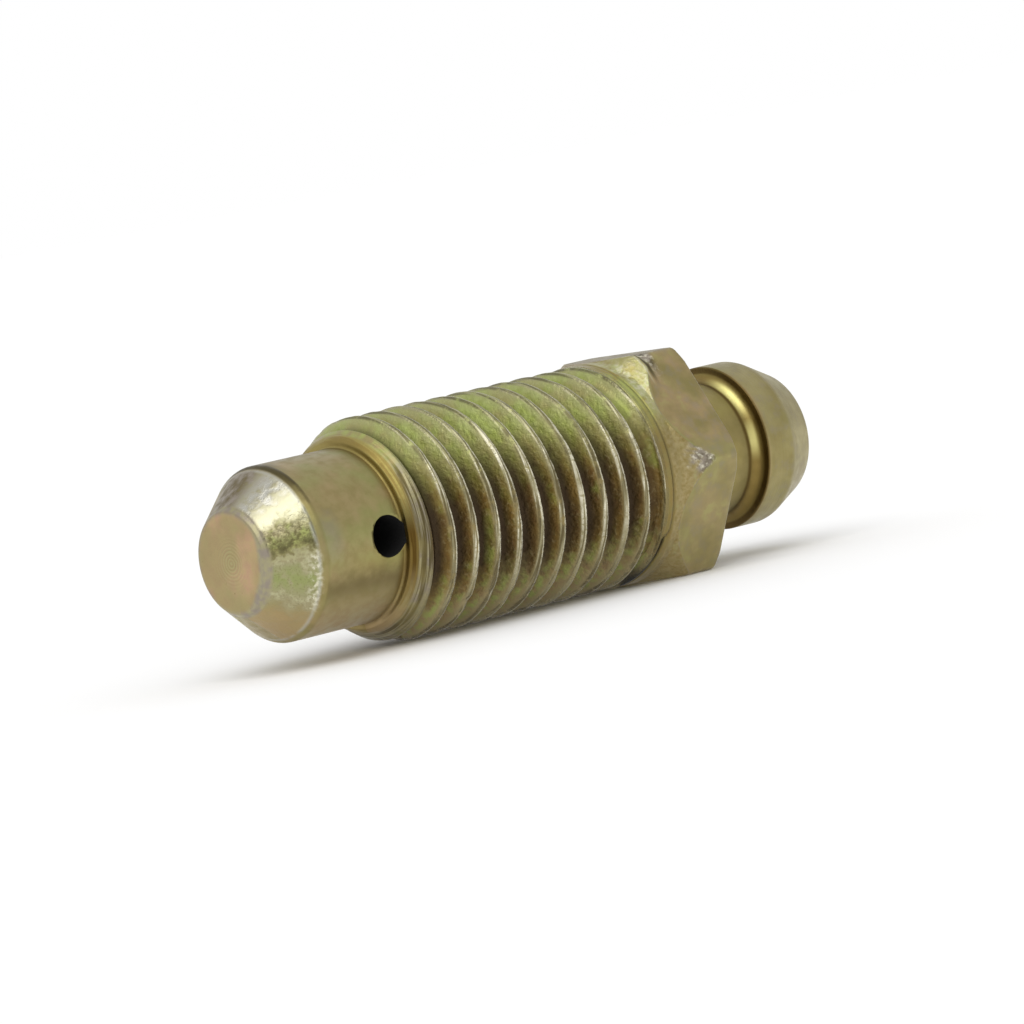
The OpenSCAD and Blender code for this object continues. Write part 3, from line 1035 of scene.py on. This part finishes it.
def make_plating():
    material = bpy.data.materials.new("plated_steel")
    g = Graph(material)
    f = Fields(g)
    color = plating_base(g, f)
    color = paint_pilot(g, f, color)
    color, cone, pitted, silver = paint_cone(g, f, color)
    color, face = paint_tip(g, f, color)
    color = paint_shoulder(g, f, color)
    color, thread, crest = paint_thread(g, f, color)
    color = paint_lead(g, f, color)
    color, chamfer = paint_hexagon(g, f, color)
    color, nose = paint_nose(g, f, color)
    # Painted shade: the bore and the cross hole filled black
    inside = g.both(g.ramp(f.radius, 1.45, 1.36), g.ramp(f.station, 1.0, 2.0))
    inside = g.math("MAXIMUM", inside, f.hole)
    color = g.mix(inside, color, BLACK)
    g.put(color, g.bsdf.inputs["Base Color"])

    dull = g.math("MAXIMUM", inside, g.math("MAXIMUM", f.fold, g.scale(thread, 0.35)))
    g.put(g.math("SUBTRACT", 0.92, g.scale(dull, 0.8)), g.bsdf.inputs["Metallic"])
    rough = g.math("ADD", 0.36, g.scale(f.blotches, 0.12))
    rough = g.math("SUBTRACT", rough, g.scale(g.math("MAXIMUM", crest, silver), 0.14))
    g.put(g.math("ADD", rough, g.scale(inside, 0.4)), g.bsdf.inputs["Roughness"])

    turned = g.math("MAXIMUM", g.band(f.station, 6.36, 7.0, 0.08), g.scale(nose, 0.4))
    normal = g.bump(g.both(f.streak, turned), 0.03)
    normal = g.bump(g.both(f.rings, face, g.ramp(f.radius, 1.5, 0.5)), 0.003, normal)
    normal = g.bump(f.grain, 0.006, normal)
    normal = g.bump(g.both(f.speck, g.math("MAXIMUM", pitted, g.scale(chamfer, 0.3))), 0.09, normal)
    normal = g.bump(g.both(f.patch, g.math("MAXIMUM", thread, cone)), 0.05, normal)
    normal = g.bump(g.both(f.speck, thread), 0.03, normal)
    g.put(normal, g.bsdf.inputs["Normal"])
    return material


screw.data.materials.clear()
screw.data.materials.append(make_plating())

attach(screw, "root")
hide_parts("bleeder_screw")


# Light: an even sky and one very soft sun from the front left
SKY_LIGHT = 0.8
SUN_POWER = 1.0
SUN_ANGLE = 55
SUN_FROM = (-0.42, -0.36, 0.83)

# Floor: a wide pale sheet, which polished metal sees a little brighter
FLOOR_SIZE = 4
FLOOR_WHITE = 0.97
FLOOR_SEEN = 0.3


def glossy_share(tree, level):
    """The given level for reflected rays, 0 for all others."""
    path = tree.nodes.new("ShaderNodeLightPath")
    node = tree.nodes.new("ShaderNodeMath")
    node.operation = "MULTIPLY"
    tree.links.new(path.outputs["Is Glossy Ray"], node.inputs[0])
    node.inputs[1].default_value = level
    return node.outputs[0]


def make_floor():
    bpy.ops.mesh.primitive_plane_add(size=FLOOR_SIZE, location=(0, 0, 0))
    floor = bpy.context.object
    floor.name = "floor"
    mat = bpy.data.materials.new("floor_white")
    mat.use_nodes = True
    tree = mat.node_tree
    shade = tree.nodes["Principled BSDF"]
    shade.inputs["Base Color"].default_value = (FLOOR_WHITE, FLOOR_WHITE, FLOOR_WHITE, 1)
    shade.inputs["Roughness"].default_value = 0.9
    shade.inputs["Specular IOR Level"].default_value = 0.0
    shade.inputs["Emission Color"].default_value = (1, 1, 1, 1)
    tree.links.new(glossy_share(tree, FLOOR_SEEN), shade.inputs["Emission Strength"])
    floor.data.materials.append(mat)
    return floor


floor = make_floor()


def make_world():
    """White for what the camera, a mirror or glass sees; softer as a light on matt surfaces."""
    world = bpy.data.worlds.new("studio")
    bpy.context.scene.world = world
    world.use_nodes = True
    tree = world.node_tree
    back = tree.nodes["Background"]
    back.inputs["Color"].default_value = (1, 1, 1, 1)
    path = tree.nodes.new("ShaderNodeLightPath")
    seen = path.outputs["Is Camera Ray"]
    for ray in ("Is Glossy Ray", "Is Transmission Ray"):
        either = tree.nodes.new("ShaderNodeMath")
        either.operation = "MAXIMUM"
        tree.links.new(seen, either.inputs[0])
        tree.links.new(path.outputs[ray], either.inputs[1])
        seen = either.outputs[0]
    level = tree.nodes.new("ShaderNodeMapRange")
    level.inputs["To Min"].default_value = SKY_LIGHT
    level.inputs["To Max"].default_value = 1.0
    tree.links.new(seen, level.inputs["Value"])
    tree.links.new(level.outputs["Result"], back.inputs["Strength"])


def make_soft_sun():
    light = bpy.data.lights.new("softbox", "SUN")
    light.energy = SUN_POWER
    light.angle = math.radians(SUN_ANGLE)
    lamp = bpy.data.objects.new("softbox", light)
    bpy.context.scene.collection.objects.link(lamp)
    aim = -Vector(SUN_FROM)
    lamp.rotation_euler = aim.to_track_quat("-Z", "Y").to_euler()


make_world()
make_soft_sun()


# Camera: a long lens a little above the screw, with the photo's slant as a roll about its own axis
CAMERA_LENS = 228.516
CAMERA_AT = (-0.184011, -0.215055, 0.021478)
CAMERA_HEADING = -40.5572
CAMERA_TILT = 86.5335
CAMERA_ROLL = -10.6412


def make_camera():
    data = bpy.data.cameras.new("camera")
    data.sensor_width = 36
    data.sensor_fit = "HORIZONTAL"
    data.lens = CAMERA_LENS
    data.clip_start = 0.005
    data.clip_end = 20
    cam = bpy.data.objects.new("camera", data)
    bpy.context.scene.collection.objects.link(cam)
    heading = Matrix.Rotation(math.radians(CAMERA_HEADING), 4, "Z")
    tilt = Matrix.Rotation(math.radians(CAMERA_TILT), 4, "X")
    roll = Matrix.Rotation(math.radians(CAMERA_ROLL), 4, "Z")
    cam.matrix_world = Matrix.Translation(Vector(CAMERA_AT)) @ heading @ tilt @ roll
    bpy.context.scene.camera = cam


make_camera()

view = bpy.context.scene.view_settings
view.view_transform = "Standard"
